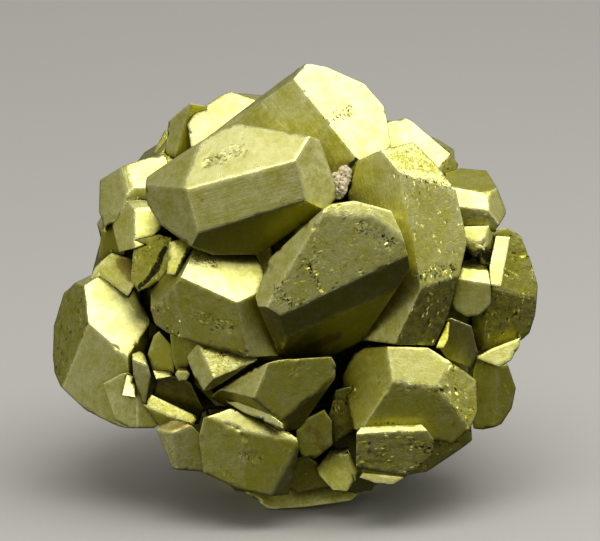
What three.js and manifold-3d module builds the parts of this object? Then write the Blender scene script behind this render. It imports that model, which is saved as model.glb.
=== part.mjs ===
// A hand-sized pyrite specimen: brassy crystals grown together into one roundish cluster,
// cut flat underneath where it rests, with a few grains of pale quartz in a pocket near the top.
// Millimetres and degrees. +Z is up, and the origin is under the middle of the specimen.

import * as THREE from 'three';
import { mergeVertices } from 'three/addons/utils/BufferGeometryUtils.js';
import Module from 'manifold-3d';

const wasm = await Module();
wasm.setup();

// The crystals are described as seen by someone who faces the best side from a little above:
// u runs to the right, v runs up and w runs towards the viewer, all in millimetres.
const LOOK_DOWN = 15;
const VIEW_UP = new THREE.Vector3(0, Math.cos(radians(LOOK_DOWN)), Math.sin(radians(LOOK_DOWN)));

// The flat cut that the specimen rests on meets the view's foot (v = 0) this far forward.
const BASE_FRONT = 8;

// Angles between the faces that pyrite grows
const STRIA = 6;
const GENTLE = 18.4;
const PYRITOHEDRON = 26.6;
const TRAPEZOHEDRON = 35.3;
const DODECAHEDRON = 45;
const OCTAHEDRON = 54.7;
const TWO_DODECAHEDRON = 60;
const TWO_OCTAHEDRON = 70.5;
const STEEPER = [
  63.4, 75, 78.5, 84.3, 90, 95.7, 101.5, 109.5, 114.1, 120, 125.3, 129.2, 135, 140.8, 144.7,
];

// A face past a crystal's outline leans away from the viewer by at least this much.
const TURNED_AWAY = 5;
const CRYSTAL_DEPTH = 17;

// The middle of the cluster, and the lump that every crystal grows out of
const MIDDLE = new THREE.Vector3(0, 27, 0);
const HEART = new THREE.Vector3(20, 19, 17);
const FOOT = { top: 16, bottom: 10, height: 16, sides: 7, at: [1, 9, -5] };

// Crystals all over the sides and the back, and smaller ones deep between the front crystals
const BACK = { count: 46, reach: [18.4, 17.4, 18.5], from: 0.1, to: -1, size: [4.6, 7.4], seed: 20 };
const DEEP = { count: 26, reach: [15.5, 15.5, 10.5], from: 1, to: 0.1, size: [3.6, 5], seed: 23 };
const SCATTER = [0.94, 1.06];

// How far a scattered crystal's faces stand from its centre, in shares of its size
const CUBE_FACES = [0.85, 1.15];
const OCTAHEDRON_FACES = [1.16, 1.5];
const PYRITOHEDRON_FACES = [1.08, 1.3];

// Quartz grains in the pocket, and the room left around them
const GRAINS = { at: [5.5, 40.6, 17.8], spread: [0.8, 1.5, 0.6], size: [0.55, 0.9], count: 16, seed: 5 };
const GRAINS_TOUCH = ['brow', 'crown', 'front', 'shoulder'];
const CLEARANCE = 0.3;

// A block larger than the specimen that each crystal is cut from, and how near two points are one
const BLOCK = 160;
const SAME_POINT = 1e-4;

// How far the seed moves on from one draw of chance to the next
const SEED_STEP = 7919;

const fold = (from, to, degrees, parent = 0) => ({ from, to, degrees, parent });

// Each crystal has the outline it shows, one main face (a point on it, how near that point is, and how
// far the face leans to the right and up), and further faces folded back over edges seen on the front.
const CRYSTALS = {
  brow: {
    outline: [
      [-18.6, 39], [-18.6, 41.3], [-16, 43], [-9.7, 47.3], [-7.2, 48], [-1.2, 47], [3.1, 46.1], [5.1, 40.2],
      [5, 38.2], [2.6, 36.2], [-3, 31.7], [-11, 31.6], [-13.7, 33], [-16, 34.2], [-18.3, 37.8],
    ],
    face: { at: [-6, 38.5], near: 26, lean: [-5, -3] },
    folds: [
      fold([-13.5, 39.7], [0, 43.3], TRAPEZOHEDRON),
      fold([-12, 34.2], [1.2, 38.4], TRAPEZOHEDRON),
      fold([0, 43.3], [1.2, 38.6], TRAPEZOHEDRON),
      fold([-13.5, 39.7], [-12, 34.2], TRAPEZOHEDRON),
      fold([-14, 40.2], [-12, 45.2], GENTLE, 1),
    ],
  },
  front: {
    outline: [
      [-5, 26.1], [-3.2, 31.2], [2.5, 36.5], [4.2, 37.9], [7.5, 38.4], [12, 37.1], [13.4, 34],
      [14.4, 30], [8.4, 21], [5.2, 19.3], [0.5, 18.1], [-0.8, 18.1], [-2, 19.2],
    ],
    face: { at: [5, 31], near: 28.5, lean: [-3, -6] },
    folds: [
      fold([-1.8, 24], [13.8, 31.4], TRAPEZOHEDRON),
      fold([-0.5, 21.6], [12.2, 27.3], GENTLE, 1),
      fold([-5, 26.1], [-1.8, 24], DODECAHEDRON),
      fold([-2.8, 26.6], [2.6, 35.4], TRAPEZOHEDRON),
      fold([4.9, 36.6], [9.7, 36.4], GENTLE),
      fold([9.7, 36.4], [13.4, 33.5], PYRITOHEDRON),
    ],
  },
  crown: {
    outline: [
      [-15.9, 42.4], [-5.2, 51], [1.1, 55.5], [2, 55.5], [4, 55.1], [8.7, 53], [11.1, 50.2], [11.6, 48],
      [12, 45], [9, 42], [2, 38], [-12, 38],
    ],
    face: { at: [1.5, 49], near: 15, lean: [-14, 2] },
    folds: [
      fold([0.2, 53.2], [7.7, 43.6], TRAPEZOHEDRON),
      fold([-4.2, 50.8], [-1.8, 48], STRIA),
      fold([-12.9, 45.2], [-4, 50.9], TWO_DODECAHEDRON, 2),
    ],
  },
  shoulder: {
    outline: [
      [6.6, 39.2], [7.8, 43.6], [11.5, 45], [14.4, 46], [17.5, 43], [20, 39.8], [21, 35.5], [21.4, 33],
      [20.9, 30.5], [19, 24], [17.3, 20.3], [11, 20.5], [7.8, 21],
    ],
    face: { at: [17.5, 35], near: 20.5, lean: [12, 6] },
    folds: [
      fold([11.5, 42.3], [20, 39.9], PYRITOHEDRON),
      fold([13.2, 41.2], [15.2, 30.5], TRAPEZOHEDRON),
      fold([19.8, 28.8], [14.8, 27.2], PYRITOHEDRON),
    ],
  },
  bright_step: {
    outline: [
      [-18.6, 26.8], [-17.6, 28.5], [-13, 32.4], [-12, 33.2], [-5.5, 32.6], [-4.2, 30.5], [-3, 26],
      [-1.5, 19], [-6, 18.9], [-11.3, 20.4], [-15.3, 21.6], [-17.3, 22.9],
    ],
    face: { at: [-10, 23.5], near: 24, lean: [-8, -10] },
    folds: [
      fold([-14.2, 28.9], [-8.3, 26.2], DODECAHEDRON),
      fold([-14.2, 28.9], [-12.4, 32.6], TWO_OCTAHEDRON, 1),
      fold([-7.2, 25.6], [-6, 19.3], TRAPEZOHEDRON),
      fold([-15, 28.7], [-13.8, 20.5], PYRITOHEDRON),
    ],
  },
  rear_pale: {
    outline: [
      [-13.5, 47.9], [-12.6, 49.4], [-9, 51.8], [-8, 52.1], [-5, 51.1], [-4, 48], [-9, 44], [-13, 45],
    ],
    face: { at: [-9.5, 48.5], near: 9.5, lean: [-5, 30] },
    folds: [],
  },
  rear_olive: {
    outline: [[-16.3, 44], [-15.9, 48.3], [-13.2, 50.6], [-11, 50.2], [-10, 46], [-12, 43], [-15, 42.5]],
    face: { at: [-14.8, 47], near: 8, lean: [-25, -5] },
    folds: [fold([-14.9, 44], [-13.4, 49.2], TRAPEZOHEDRON)],
  },
  rear_chip: {
    outline: [[-17.8, 44.4], [-16.3, 47.3], [-15.5, 47], [-15.5, 43.5], [-17, 43.4]],
    face: { at: [-16.6, 45.4], near: 4, lean: [-20, 15] },
    folds: [],
  },
  left_shoulder: {
    outline: [
      [-24.5, 37], [-24.4, 41.1], [-23.8, 41.8], [-20.8, 43.1], [-18, 44.5], [-16.2, 44.5], [-15.5, 41],
      [-18, 37.5], [-22, 35.6], [-23.9, 35.2],
    ],
    face: { at: [-18.4, 42], near: 12, lean: [2, 29] },
    folds: [
      fold([-20.8, 43], [-20, 40], GENTLE),
      fold([-21.9, 42.4], [-21.2, 39.6], PYRITOHEDRON, 1),
      fold([-21.3, 40], [-18.6, 40.1], PYRITOHEDRON),
    ],
  },
  left_pale: {
    outline: [
      [-22.9, 35.2], [-21, 38.9], [-18.3, 38.4], [-16, 36], [-15.8, 33.8], [-18.5, 32.9], [-20.2, 31],
      [-21.8, 31], [-22.4, 33.5],
    ],
    face: { at: [-18.5, 35.5], near: 15, lean: [-4, 20] },
    folds: [
      fold([-21.2, 37.1], [-18, 37.4], GENTLE),
      fold([-20, 36.5], [-20, 33.5], PYRITOHEDRON),
    ],
  },
  left_dark: {
    outline: [
      [-24.6, 31.2], [-24.1, 35.6], [-23.3, 36.8], [-21.8, 36], [-21, 33], [-21.5, 30.5], [-23, 30],
    ],
    face: { at: [-23.2, 33.5], near: 9, lean: [-15, -12] },
    folds: [],
  },
  left_sliver: {
    outline: [[-24, 34.5], [-23.4, 36.8], [-23, 36.6], [-23.4, 34.4]],
    face: { at: [-23.5, 35.6], near: 10.5, lean: [0, 27] },
    folds: [],
  },
  left_ledge: {
    outline: [[-26, 28], [-25, 30.1], [-23, 32], [-20.4, 31.2], [-19.6, 28.5], [-21, 26], [-25, 26.5]],
    face: { at: [-22, 29.8], near: 9.5, lean: [-8, 14] },
    folds: [],
  },
  left_wing: {
    outline: [
      [-30.3, 19], [-30.2, 22.8], [-28.9, 27], [-27.5, 28.2], [-23, 30.3], [-20.5, 28.2], [-18.1, 23.5],
      [-18.3, 20], [-20, 10.5], [-20.7, 9.95], [-22, 10.2], [-26, 12.1], [-29.3, 15.2], [-30.1, 17],
    ],
    face: { at: [-24.5, 17.5], near: 12.8, lean: [-26, -5] },
    folds: [
      fold([-25.5, 22.9], [-22.2, 20], DODECAHEDRON),
      fold([-26, 22.6], [-28.6, 16.2], TRAPEZOHEDRON),
      fold([-27, 27.4], [-23, 30.1], DODECAHEDRON, 1),
      fold([-18.3, 22.8], [-19.9, 20.3], DODECAHEDRON, 1),
    ],
  },
  left_foot: {
    outline: [
      [-24, 15.6], [-21.8, 16.8], [-20.8, 17], [-19.6, 16.4], [-16.9, 10.5], [-17.6, 10], [-20.5, 10],
      [-22.5, 11],
    ],
    face: { at: [-21.8, 13.5], near: 15, lean: [-6, -3] },
    folds: [fold([-19.8, 13.2], [-19.8, 10.1], STRIA)],
  },
  left_spark: {
    outline: [[-21, 16.8], [-20, 16.5], [-19.8, 13.8], [-21.6, 14.1]],
    face: { at: [-20.6, 15.3], near: 16.2, lean: [4, 29] },
    folds: [],
  },
  left_chip: {
    outline: [
      [-21.1, 19], [-19.3, 19.7], [-18.6, 19.2], [-17.9, 16.5], [-18.6, 13.1], [-19.8, 13.2], [-20.1, 16.4],
    ],
    face: { at: [-19.3, 16], near: 17, lean: [-12, -9] },
    folds: [fold([-21, 18.9], [-18.8, 18.1], DODECAHEDRON)],
  },
  left_peg: {
    outline: [
      [-18.4, 19.2], [-17.6, 21.6], [-16.9, 22.2], [-15.2, 20.2], [-15, 17], [-15.8, 16.4], [-17.5, 16.3],
    ],
    face: { at: [-16.8, 19], near: 16.5, lean: [-10, -4] },
    folds: [],
  },
  left_glint: {
    outline: [[-17.8, 17.3], [-15.4, 17.1], [-15.2, 16.5], [-17.3, 16.1]],
    face: { at: [-16.6, 16.7], near: 17.4, lean: [0, 28] },
    folds: [],
  },
  left_slope: {
    outline: [
      [-15.6, 21.8], [-14.5, 22.3], [-11.6, 21], [-12.6, 18.8], [-13.6, 17.2], [-14.8, 17.2], [-15.3, 18.6],
    ],
    face: { at: [-14.2, 19.5], near: 17.5, lean: [-4, -6] },
    folds: [],
  },
  left_bump: {
    outline: [[-15, 16.8], [-14.4, 17.7], [-13.5, 17.6], [-13, 16.8], [-13.4, 16], [-14.5, 15.9]],
    face: { at: [-14, 16.8], near: 18.2, lean: [-4, 2] },
    folds: [fold([-14.9, 17.2], [-13.1, 17.1], TRAPEZOHEDRON)],
  },
  ledge_shade: {
    outline: [[-18, 14], [-17.2, 16.4], [-15.6, 16.8], [-13, 15.8], [-11.4, 12.4], [-12, 10.5], [-16, 11]],
    face: { at: [-15, 14.5], near: 15, lean: [-5, -22] },
    folds: [],
  },
  ledge: {
    outline: [
      [-18.9, 13], [-17.9, 14.3], [-12, 11.5], [-12.6, 10.4], [-13.4, 10.1], [-15.3, 9.4], [-16.9, 10.3],
    ],
    face: { at: [-15.5, 12.6], near: 17, lean: [-5, 20] },
    folds: [fold([-18.6, 12.7], [-12.9, 10.4], TRAPEZOHEDRON)],
  },
  left_under: {
    outline: [
      [-17.3, 10], [-16.7, 10.5], [-15, 11.3], [-13, 10.6], [-11.8, 9.4], [-11.3, 4.6], [-15.2, 4.9],
      [-16.4, 7.8],
    ],
    face: { at: [-13.5, 7.5], near: 18.3, lean: [2, -8] },
    folds: [
      fold([-15.3, 9.5], [-13.2, 10.3], DODECAHEDRON),
      fold([-15.3, 9.4], [-14.7, 5], PYRITOHEDRON),
      fold([-16.7, 10.3], [-15.3, 9.5], TRAPEZOHEDRON, 2),
    ],
  },
  wedge: {
    outline: [
      [-13.5, 18.9], [-12.2, 20.5], [-11, 20.8], [-5, 19.4], [-4.6, 18.6], [-6, 17.6], [-10.6, 14.7],
      [-11.3, 14.6], [-12.6, 16.6],
    ],
    face: { at: [-8.8, 18.3], near: 23, lean: [6, 18] },
    folds: [
      fold([-12, 20.4], [-10, 16.2], DODECAHEDRON),
      fold([-9.9, 16.3], [-5.8, 18], TWO_OCTAHEDRON),
    ],
  },
  tongue: {
    outline: [
      [-11, 14], [-5.3, 17.4], [-2.4, 18.6], [4.5, 19], [5.1, 18], [5, 16.3], [0.6, 10], [-1.9, 9.3],
      [-9, 13],
    ],
    face: { at: [-0.5, 15.5], near: 23.5, lean: [4, -8] },
    folds: [
      fold([-4, 16.6], [-5.2, 13.7], TRAPEZOHEDRON),
      fold([-5, 13.7], [-1.7, 11], OCTAHEDRON),
      fold([-1.6, 11], [4.9, 16.2], OCTAHEDRON),
    ],
  },
  tongue_step: {
    outline: [
      [-9.2, 13.4], [-5, 13.5], [-1.5, 10.7], [-1.4, 10], [-2, 9.3], [-6.4, 12], [-8.8, 13],
    ],
    face: { at: [-4, 11.9], near: 22.4, lean: [-20, 6] },
    folds: [],
  },
  chin: {
    outline: [
      [-12, 9], [-11.4, 11.4], [-8, 12.6], [-6.4, 12], [-1, 9.8], [0.3, 8.8], [0.5, 7.4], [-0.8, 1.8],
      [-3, 1.6], [-7, 2.5], [-11.4, 4.5],
    ],
    face: { at: [-3.2, 6], near: 21, lean: [2, -8] },
    folds: [
      fold([0.2, 7.4], [-2.9, 1.7], PYRITOHEDRON),
      fold([-2.8, 9], [0.3, 8.4], PYRITOHEDRON),
      fold([-6.6, 11.8], [-6.4, 2], STRIA),
    ],
  },
  jaw: {
    outline: [
      [7.4, 9.8], [6, 15.2], [5.8, 16.6], [7.2, 19.2], [8.6, 20.1], [11.5, 20.3], [16.6, 20.1], [20.6, 17.6],
      [22.6, 16], [22.7, 12], [21.8, 10], [19.6, 8.1],
    ],
    face: { at: [14, 12.5], near: 20.5, lean: [2, -11] },
    folds: [
      fold([12.4, 15.8], [17.8, 15.1], PYRITOHEDRON),
      fold([12.3, 16], [8.6, 10.4], TRAPEZOHEDRON),
      fold([17.8, 15.1], [21.6, 9.8], PYRITOHEDRON),
    ],
  },
  under_jaw: {
    outline: [
      [7.6, 9.6], [8.2, 10.3], [15.9, 10.6], [17.2, 8.8], [17.2, 6.6], [13.6, 3.9], [12.2, 3], [9, 3.5],
      [7.6, 5],
    ],
    face: { at: [12, 7], near: 21.6, lean: [0, -14] },
    folds: [
      fold([8.2, 9.4], [15.9, 9.8], DODECAHEDRON),
      fold([9.2, 5], [13.4, 4.2], DODECAHEDRON),
    ],
  },
  under_lip: {
    outline: [[8, 3.9], [8.4, 4.7], [9.3, 5.2], [13.6, 4.3], [13.5, 3.8], [12.2, 3], [10, 3.2]],
    face: { at: [11, 4.1], near: 20.5, lean: [-4, 8] },
    folds: [],
  },
  toe: {
    outline: [[2.6, 5], [4.3, 7.4], [6.7, 7.7], [8, 4.5], [7.8, 3.6], [6.5, 2.1], [4.8, 2.2], [3, 4.1]],
    face: { at: [5.4, 5], near: 14.5, lean: [-6, 6] },
    folds: [fold([4.2, 6.4], [6.7, 6.8], GENTLE), fold([6.5, 6.8], [7.5, 3.6], GENTLE)],
  },
  sole: {
    outline: [
      [-6.4, 2.1], [-3.4, -0.1], [-2.6, -0.2], [1.6, 0.1], [7.1, 0.9], [8, 1.8], [4.8, 2.9], [0, 2.6],
      [-3, 2.4],
    ],
    face: { at: [2, 1], near: 9, lean: [0, 8] },
    folds: [],
  },
  nook: {
    outline: [
      [0.2, 8], [0.1, 10.6], [1.4, 11.3], [3.6, 12.4], [4.6, 11], [4.7, 8], [2.5, 6.2], [0.9, 6.3],
    ],
    face: { at: [2.2, 9], near: 18.5, lean: [8, -9] },
    folds: [],
  },
  nook_floor: {
    outline: [[-0.6, 2.6], [-0.2, 6.3], [1.4, 6.6], [3.4, 5.4], [5, 3.6], [4.8, 2.8], [0.2, 1.7]],
    face: { at: [1.8, 4], near: 13, lean: [0, -16] },
    folds: [],
  },
  nook_dark: {
    outline: [[4, 11], [5, 14.8], [7, 15.3], [8.2, 14], [7.6, 10], [5, 8.3]],
    face: { at: [6, 11.5], near: 17.5, lean: [-5, -20] },
    folds: [],
  },
  right_top: {
    outline: [
      [11.3, 48.2], [13.8, 48.8], [14.6, 48.4], [19.4, 44.3], [20.4, 43], [20.2, 41.8], [17, 41], [12, 43],
    ],
    face: { at: [15.5, 46], near: 9, lean: [6, 28] },
    folds: [fold([19.4, 44.3], [17.9, 42.5], TRAPEZOHEDRON)],
  },
  right_ear: {
    outline: [
      [18.4, 41.8], [20.6, 42.5], [23.9, 42.2], [25, 40.7], [26.3, 37.3], [26.3, 36.7], [25, 34.6],
      [21, 34.8], [19.5, 38],
    ],
    face: { at: [22, 38.6], near: 14, lean: [2, 24] },
    folds: [
      fold([20, 40], [23.9, 39.3], TRAPEZOHEDRON),
      fold([23.9, 39.3], [24.1, 37.1], TRAPEZOHEDRON),
      fold([20.6, 37.6], [24.1, 37.1], TRAPEZOHEDRON),
    ],
  },
  right_peg: {
    outline: [[20.8, 35.2], [24.2, 35.3], [24.7, 34], [24, 32.2], [22, 31.8], [21, 33]],
    face: { at: [22.8, 34.2], near: 15.5, lean: [0, 18] },
    folds: [
      fold([24.1, 35], [23.6, 33], TRAPEZOHEDRON),
      fold([21.8, 33.4], [23.6, 32.7], GENTLE),
    ],
  },
  right_wing: {
    outline: [
      [22.6, 29], [23.6, 34.4], [26.4, 35], [28.1, 34.2], [29.4, 31], [30.3, 27.8], [30.1, 24.5],
      [29.3, 21.9], [28.3, 21], [25.6, 20], [22.8, 19.6], [21.6, 22.8],
    ],
    face: { at: [26.8, 23.5], near: 12.5, lean: [14, -16] },
    folds: [
      fold([24.6, 27.6], [30.2, 26], GENTLE),
      fold([24.4, 27], [23.7, 20.5], TRAPEZOHEDRON),
    ],
  },
  right_bevel: {
    outline: [[24.2, 27.7], [24.2, 30.3], [25, 34.1], [26.9, 33.9], [25.7, 27.6]],
    face: { at: [25.4, 31], near: 15.2, lean: [0, 20] },
    folds: [],
  },
  right_wedge: {
    outline: [[22.4, 18.8], [24.5, 20], [28.2, 21.4], [28, 20.2], [26.9, 18.4], [25.4, 17.6]],
    face: { at: [25.6, 19.2], near: 14, lean: [2, 15] },
    folds: [],
  },
  right_step: {
    outline: [
      [19.4, 25], [20.2, 28.6], [21.1, 31], [24, 30.4], [24.4, 28], [24.4, 25.4], [23.1, 24.1], [21.5, 23.9],
    ],
    face: { at: [22.2, 26.3], near: 16.5, lean: [0, -3] },
    folds: [
      fold([20.3, 28.6], [24.4, 28], TRAPEZOHEDRON),
      fold([21, 30], [24.1, 29.6], PYRITOHEDRON, 1),
    ],
  },
  right_shade: {
    outline: [[17.8, 20], [18.8, 23.6], [19.4, 23.8], [22, 22.8], [22.8, 19.5], [22, 17.5], [19, 18.6]],
    face: { at: [20.5, 20.5], near: 15.5, lean: [10, -16] },
    folds: [],
  },
  right_sliver: {
    outline: [[17.4, 20], [18, 21.3], [18.9, 23.6], [19.3, 23.2], [19.1, 21], [18.5, 20]],
    face: { at: [18.6, 21.8], near: 18, lean: [6, 25] },
    folds: [],
  },
  right_low: {
    outline: [
      [22.2, 17.2], [22.7, 19.2], [25.4, 20], [26.6, 17.9], [27.6, 15], [27.1, 12.5], [25.8, 10.5],
      [24, 9.8], [22.3, 9.9], [21.8, 12],
    ],
    face: { at: [24, 14], near: 12, lean: [2, -6] },
    folds: [
      fold([22.8, 18.9], [25.4, 17.7], DODECAHEDRON),
      fold([25.3, 17.5], [25.1, 10.5], PYRITOHEDRON),
    ],
  },
  right_foot: {
    outline: [
      [16.8, 9.4], [19.5, 10.4], [22, 10.6], [22.1, 8.5], [21.1, 7.7], [16.5, 4.6], [14, 4.2], [13.5, 5.5],
    ],
    face: { at: [18.5, 7.5], near: 14, lean: [8, -16] },
    folds: [],
  },
  hollow_left: {
    outline: [
      [-20.3, 31.2], [-19.9, 33.5], [-17, 34.2], [-15.3, 33.8], [-15.5, 29], [-17, 28.2], [-19.5, 27],
      [-20.5, 28.5],
    ],
    face: { at: [-18.2, 31], near: 16, lean: [-12, 0] },
    folds: [],
  },
  hollow_rib: {
    outline: [[-16, 29.2], [-15.7, 33.3], [-13.3, 33.8], [-12.8, 32.5], [-14.6, 29]],
    face: { at: [-14.6, 31.2], near: 21.5, lean: [-5, 17] },
    folds: [],
  },
};

function radians(degrees) {
  return THREE.MathUtils.degToRad(degrees);
}

// A closed solid from a three.js shape
function solid(geometry) {
  const shape = geometry.clone();
  shape.deleteAttribute('normal');
  shape.deleteAttribute('uv');
  const merged = mergeVertices(shape, SAME_POINT);
  const corners = Array.from({ length: merged.attributes.position.count }, (_, i) => i);
  return new wasm.Manifold(new wasm.Mesh({
    numProp: 3,
    vertProperties: new Float32Array(merged.attributes.position.array),
    triVerts: new Uint32Array(merged.index ? merged.index.array : corners),
  }));
}

function join(solids) {
  return solids.reduce((whole, next) => whole.add(next));
}

// What is left of a block around a point once every plane has sliced off its outer side
function sliced(centre, planes) {
  const block = solid(new THREE.BoxGeometry(BLOCK, BLOCK, BLOCK).translate(centre.x, centre.y, centre.z));
  return planes.reduce(
    (left, { normal, constant }) => left.trimByPlane([-normal.x, -normal.y, -normal.z], constant),
    block,
  );
}

function planeThrough(normal, point) {
  return new THREE.Plane().setFromNormalAndCoplanarPoint(normal, point);
}

// The way a face looks that leans to the right and up from straight at the viewer
function looking([right, up]) {
  const turn = new THREE.Euler(radians(-up), radians(right), 0, 'YXZ');
  return new THREE.Vector3(0, 0, 1).applyEuler(turn);
}

function depthAt({ normal, constant }, [u, v]) {
  return -(normal.x * u + normal.y * v + constant) / normal.z;
}

function onFace(face, [u, v]) {
  return new THREE.Vector3(u, v, depthAt(face, [u, v]));
}

// The next face, folded back from a face over an edge, away from the crystal's middle
function foldedFace(face, from, to, degrees, middle) {
  const start = onFace(face, from);
  const edge = onFace(face, to).sub(start).normalize();
  const outward = edge.clone().cross(face.normal);
  const sideOf = (x, y) => Math.sign(edge.x * y - edge.y * x);
  if (sideOf(outward.x, outward.y) === sideOf(middle.x - start.x, middle.y - start.y)) outward.negate();
  const normal = face.normal.clone().multiplyScalar(Math.cos(radians(degrees)));
  return planeThrough(normal.addScaledVector(outward, Math.sin(radians(degrees))), start);
}

// The face past an outline edge: the first of pyrite's angles that turns it out of sight
function hiddenFace(shown, from, to, middle) {
  const half = [(from[0] + to[0]) / 2, (from[1] + to[1]) / 2];
  const face = shown.reduce((a, b) => (depthAt(b, half) < depthAt(a, half) ? b : a));
  const angles = [TRAPEZOHEDRON, DODECAHEDRON, OCTAHEDRON, TWO_DODECAHEDRON, TWO_OCTAHEDRON, ...STEEPER];
  const faces = angles.map((degrees) => foldedFace(face, from, to, degrees, middle));
  const outOfSight = -Math.sin(radians(TURNED_AWAY));
  return faces.find(({ normal }) => normal.z < outOfSight) ?? faces.at(-1);
}

function crystalPlanes({ outline, face, folds }) {
  const middle = new THREE.Vector3(...face.at, face.near);
  const shown = [planeThrough(looking(face.lean), middle)];
  for (const { from, to, degrees, parent } of folds) {
    shown.push(foldedFace(shown[parent], from, to, degrees, middle));
  }
  const front = shown.filter(({ normal }) => normal.z > 0);
  const sides = outline.map((from, i) => hiddenFace(front, from, outline[(i + 1) % outline.length], middle));
  const rear = middle.clone().addScaledVector(shown[0].normal, -CRYSTAL_DEPTH);
  return [...shown, ...sides, planeThrough(shown[0].normal.clone().negate(), rear)];
}

// A crystal from its description, or the room it takes up with a gap left all round it
function crystal(form, gap = 0) {
  const planes = crystalPlanes(form);
  for (const plane of planes) plane.constant -= gap;
  return sliced(new THREE.Vector3(...form.face.at, form.face.near), planes);
}

// A seeded source of chance: pick(low, high)
function chance(seed) {
  let state = seed;
  return (low, high) => {
    state += 1;
    return THREE.MathUtils.lerp(low, high, THREE.MathUtils.seededRandom(state * SEED_STEP));
  };
}

// A whole crystal with cube faces, its corners and edges trimmed by the two other forms
function wholeCrystal(centre, size, pick) {
  const turn = new THREE.Quaternion().setFromEuler(
    new THREE.Euler(pick(0, Math.PI), pick(0, Math.PI), pick(0, Math.PI)),
  );
  const forms = [
    ...[[1, 0, 0], [0, 1, 0], [0, 0, 1]].map((face) => [face, size * pick(...CUBE_FACES)]),
    ...[[1, 1, 1], [1, 1, -1], [1, -1, 1], [-1, 1, 1]]
      .map((face) => [face, size * pick(...OCTAHEDRON_FACES)]),
    ...[[2, 1, 0], [0, 2, 1], [1, 0, 2], [2, -1, 0], [0, 2, -1], [-1, 0, 2]]
      .map((face) => [face, size * pick(...PYRITOHEDRON_FACES)]),
  ];
  const planes = forms.flatMap(([face, distance]) => [1, -1].map((side) => {
    const normal = new THREE.Vector3(...face).normalize().multiplyScalar(side).applyQuaternion(turn);
    return planeThrough(normal, centre.clone().addScaledVector(normal, distance));
  }));
  return sliced(centre, planes);
}

// Whole crystals spread evenly over part of the cluster by a golden spiral
function scattered({ count, reach, from, to, size, seed }) {
  const pick = chance(seed);
  const goldenAngle = Math.PI * (3 - Math.sqrt(5));
  return Array.from({ length: count }, (_, i) => {
    const forward = THREE.MathUtils.lerp(from, to, (i + 0.5) / count);
    const way = new THREE.Vector3().setFromSphericalCoords(1, Math.acos(forward), i * goldenAngle);
    const centre = new THREE.Vector3(way.z, way.x, way.y)
      .multiply(new THREE.Vector3(...reach))
      .multiplyScalar(pick(...SCATTER))
      .add(MIDDLE);
    return wholeCrystal(centre, pick(...size), pick);
  });
}

function heart() {
  const lump = new THREE.IcosahedronGeometry(1, 1).scale(...HEART.toArray());
  return solid(lump.translate(...MIDDLE.toArray()));
}

function foot() {
  const trunk = new THREE.CylinderGeometry(FOOT.top, FOOT.bottom, FOOT.height, FOOT.sides);
  return solid(trunk.rotateX(radians(LOOK_DOWN)).translate(...FOOT.at));
}

function quartzGrains() {
  const pick = chance(GRAINS.seed);
  const grains = Array.from({ length: GRAINS.count }, () => {
    const place = GRAINS.at.map((middle, axis) => middle + pick(-1, 1) * GRAINS.spread[axis]);
    const grain = new THREE.DodecahedronGeometry(pick(...GRAINS.size), 0);
    grain.rotateX(pick(0, Math.PI)).rotateY(pick(0, Math.PI));
    return solid(grain.translate(...place));
  });
  return join(grains).subtract(join(GRAINS_TOUCH.map((name) => crystal(CRYSTALS[name], CLEARANCE))));
}

// The solid's triangles, back as a three.js shape
function shapeOf(body) {
  const { vertProperties, triVerts } = body.getMesh();
  const geometry = new THREE.BufferGeometry();
  geometry.setAttribute('position', new THREE.BufferAttribute(vertProperties, 3));
  geometry.setIndex(new THREE.BufferAttribute(triVerts, 1));
  geometry.computeVertexNormals();
  return geometry;
}

const baseLevel = VIEW_UP.z * BASE_FRONT;
const frontCrystals = Object.values(CRYSTALS).map((form) => crystal(form));
const cluster = join([heart(), foot(), ...scattered(BACK), ...scattered(DEEP), ...frontCrystals])
  .trimByPlane(VIEW_UP.toArray(), baseLevel);

const pyrite = new THREE.Mesh(
  shapeOf(cluster),
  new THREE.MeshStandardMaterial({ color: 0x9d9650, roughness: 0.34, metalness: 1 }),
);
pyrite.name = 'pyrite_cluster';

const quartz = new THREE.Mesh(
  shapeOf(quartzGrains()),
  new THREE.MeshStandardMaterial({ color: 0xd8bfa4, roughness: 0.6, metalness: 0 }),
);
quartz.name = 'quartz_grains';

const specimen = new THREE.Group();
specimen.add(pyrite, quartz);
specimen.rotation.x = radians(90 - LOOK_DOWN);
specimen.updateMatrixWorld(true);
const box = new THREE.Box3().setFromObject(specimen, true);
specimen.position.set(-(box.min.x + box.max.x) / 2, -(box.min.y + box.max.y) / 2, -baseLevel);

export default specimen;
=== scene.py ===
"""A pyrite specimen: brassy crystals grown together, with grains of quartz in a pocket near the top.

The flat crystal faces come from the frame. Each one is covered with a fine mesh of its own, and gets worn
rims, creases darkened by dirt and painted shade, growth steps, striae and pits. Faces deep between the
crystals are painted in shade. Lengths in the tables below are millimetres.
"""

import math

import bmesh
import bpy
import numpy as np
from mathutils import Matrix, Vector
from mathutils.bvhtree import BVHTree
from mathutils.geometry import delaunay_2d_cdt


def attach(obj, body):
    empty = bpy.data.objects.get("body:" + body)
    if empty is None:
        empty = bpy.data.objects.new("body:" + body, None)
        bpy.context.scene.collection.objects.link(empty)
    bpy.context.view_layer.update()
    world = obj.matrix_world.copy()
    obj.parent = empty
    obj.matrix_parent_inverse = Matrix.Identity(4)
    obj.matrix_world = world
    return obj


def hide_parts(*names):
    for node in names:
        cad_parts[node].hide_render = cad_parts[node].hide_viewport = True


bl_info = {
    "name": "Pyrite Specimen",
    "version": (1, 0, 0),
    "blender": (4, 5, 0),
    "location": "3D View > Sidebar > Pyrite",
    "description": "Builds a pyrite crystal cluster, its quartz grains and a plain stage",
    "category": "Add Mesh",
}

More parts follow.
